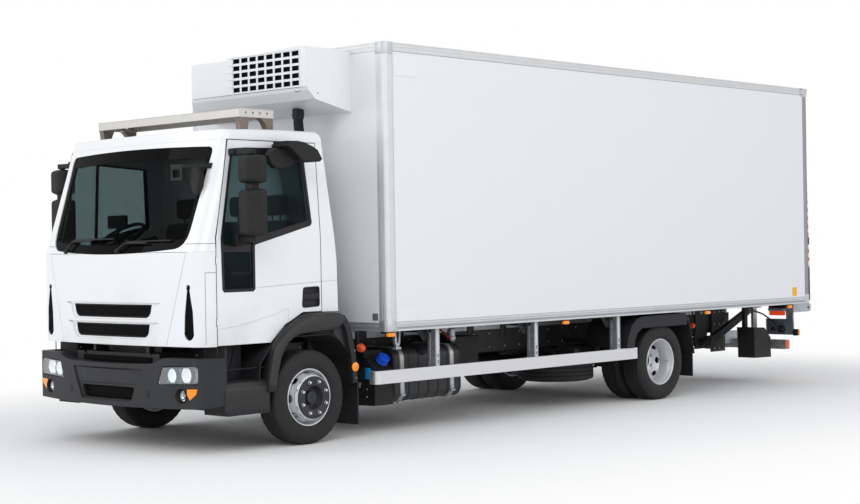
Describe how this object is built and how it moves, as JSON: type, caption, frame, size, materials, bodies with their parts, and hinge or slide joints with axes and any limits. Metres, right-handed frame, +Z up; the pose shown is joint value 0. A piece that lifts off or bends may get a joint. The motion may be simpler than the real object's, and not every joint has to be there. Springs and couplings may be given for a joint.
{
  "type": "refrigerated truck",
  "caption": "Light two-axle box truck with a tilting cab, a cooling unit over it, an insulated body, side guards and a folded tail lift at the back.",
  "frame": {"origin": "on the ground, midway along, across the middle of the vehicle", "axes": "+Z up, -Y the way the truck drives forward, +X the driver's left"},
  "size_m": [2.779, 8.867, 3.335],
  "materials": {
    "tyre": "ribbed black rubber",
    "rim_steel": "silver paint on steel discs",
    "chassis_black": "satin black chassis paint",
    "cab_white": "gloss white paint",
    "box_white": "smooth white panel skin",
    "rail_aluminium": "brushed extrusion",
    "floor_aluminium": "chequered floor plate",
    "galvanised": "galvanised steel",
    "black_plastic": "grained black plastic",
    "unit_white": "white moulded covers",
    "dark_glass": "tinted safety glass",
    "lamp_clear": "clear lamp cover",
    "lamp_red": "red lamp lens",
    "seat_fabric": "woven seat cover",
    "rubber": "black hose rubber",
    "lift_black": "black paint"
  },
  "bodies": {
    "chassis": {"frame_rails": "chassis_black", "subframe_rails": "galvanised", "cross_members": "chassis_black", "powertrain": "chassis_black", "drive_shaft": "chassis_black", "front_axle": "chassis_black", "rear_axle": "chassis_black", "leaf_springs": "chassis_black", "fuel_tank": "black_plastic", "additive_tank": "black_plastic", "chassis_boxes": "black_plastic", "spare_tyre": "tyre", "spare_carrier": "chassis_black", "side_guards": "rail_aluminium", "rear_mudguards": "black_plastic", "front_wings": "black_plastic", "bumper": "black_plastic", "front_apron": "black_plastic", "headlamps": "lamp_clear", "box_floor": "floor_aluminium", "box_walls": "box_white", "box_roof": "box_white", "box_rails": "rail_aluminium", "portal_frame": "rail_aluminium", "cooling_unit": "unit_white", "unit_conduit": "rubber", "lift_frame": "lift_black", "rear_lamps": "lamp_red", "under_run_bar": "galvanised"},
    "cab": {"cab_glass": "dark_glass", "cab_roof": "cab_white", "cab_rear_wall": "cab_white", "cab_pillars": "cab_white", "front_panel": "cab_white", "corner_panels": "cab_white", "front_grille": "black_plastic", "cab_floor": "chassis_black", "seats": "seat_fabric", "dashboard": "black_plastic", "roof_bar": "cab_white", "front_mirror": "black_plastic"},
    "steered_left": {"knuckle_left": "chassis_black"},
    "steered_right": {"knuckle_right": "chassis_black"},
    "wheel_front_left": {"tyre_front_left": "tyre", "rim_front_left": "rim_steel"},
    "wheel_front_right": {"tyre_front_right": "tyre", "rim_front_right": "rim_steel"},
    "wheels_rear_left": {"tyre_rear_left": "tyre", "rim_rear_left": "rim_steel"},
    "wheels_rear_right": {"tyre_rear_right": "tyre", "rim_rear_right": "rim_steel"},
    "left_door": {"door_left": "cab_white", "door_glass_left": "dark_glass", "mirrors_left": "black_plastic"},
    "right_door": {"door_right": "cab_white", "door_glass_right": "dark_glass", "mirrors_right": "black_plastic"},
    "loading_flap": {"rear_flap": "box_white"},
    "tail_lift_arms": {"lift_arms": "lift_black"},
    "tail_lift_platform": {"platform": "rail_aluminium"}
  },
  "joints": [
    {"name": "cab_tilt", "type": "hinge", "parent": "chassis", "child": "cab", "pos_m": [0, -4.25, 0.86], "axis": [1, 0, 0], "range_deg": [0, 45]},
    {"name": "door_left_open", "type": "hinge", "parent": "cab", "child": "left_door", "pos_m": [1.1045, -4.156, 1.6], "axis": [0, 0, -1], "range_deg": [0, 70]},
    {"name": "door_right_open", "type": "hinge", "parent": "cab", "child": "right_door", "pos_m": [-1.1045, -4.156, 1.6], "axis": [0, 0, 1], "range_deg": [0, 70]},
    {"name": "flap_open", "type": "hinge", "parent": "chassis", "child": "loading_flap", "pos_m": [0, 4.335, 3.236], "axis": [1, 0, 0], "range_deg": [0, 90]},
    {"name": "lift_lower", "type": "hinge", "parent": "chassis", "child": "tail_lift_arms", "pos_m": [0, 3.413, 0.465], "axis": [1, 0, 0], "range_deg": [-43, 0]},
    {"name": "platform_fold", "type": "hinge", "parent": "tail_lift_arms", "child": "tail_lift_platform", "pos_m": [0, 4.39, 0.85], "axis": [-1, 0, 0], "range_deg": [0, 100]},
    {"name": "steer_left", "type": "hinge", "parent": "chassis", "child": "steered_left", "pos_m": [0.83, -3.23, 0.385], "axis": [0, 0, 1], "range_deg": [-38, 38]},
    {"name": "steer_right", "type": "hinge", "parent": "chassis", "child": "steered_right", "pos_m": [-0.83, -3.23, 0.385], "axis": [0, 0, 1], "range_deg": [-38, 38]},
    {"name": "roll_front_left", "type": "hinge", "parent": "steered_left", "child": "wheel_front_left", "pos_m": [1.03, -3.23, 0.385], "axis": [1, 0, 0], "continuous": true},
    {"name": "roll_rear_left", "type": "hinge", "parent": "chassis", "child": "wheels_rear_left", "pos_m": [0.99, 1.53, 0.385], "axis": [1, 0, 0], "continuous": true},
    {"name": "roll_front_right", "type": "hinge", "parent": "steered_right", "child": "wheel_front_right", "pos_m": [-1.03, -3.23, 0.385], "axis": [1, 0, 0], "continuous": true},
    {"name": "roll_rear_right", "type": "hinge", "parent": "chassis", "child": "wheels_rear_right", "pos_m": [-0.99, 1.53, 0.385], "axis": [1, 0, 0], "continuous": true}
  ],
  "couplings": [
    {"joint": "steer_right", "follows": "steer_left", "ratio": 1}
  ]
}
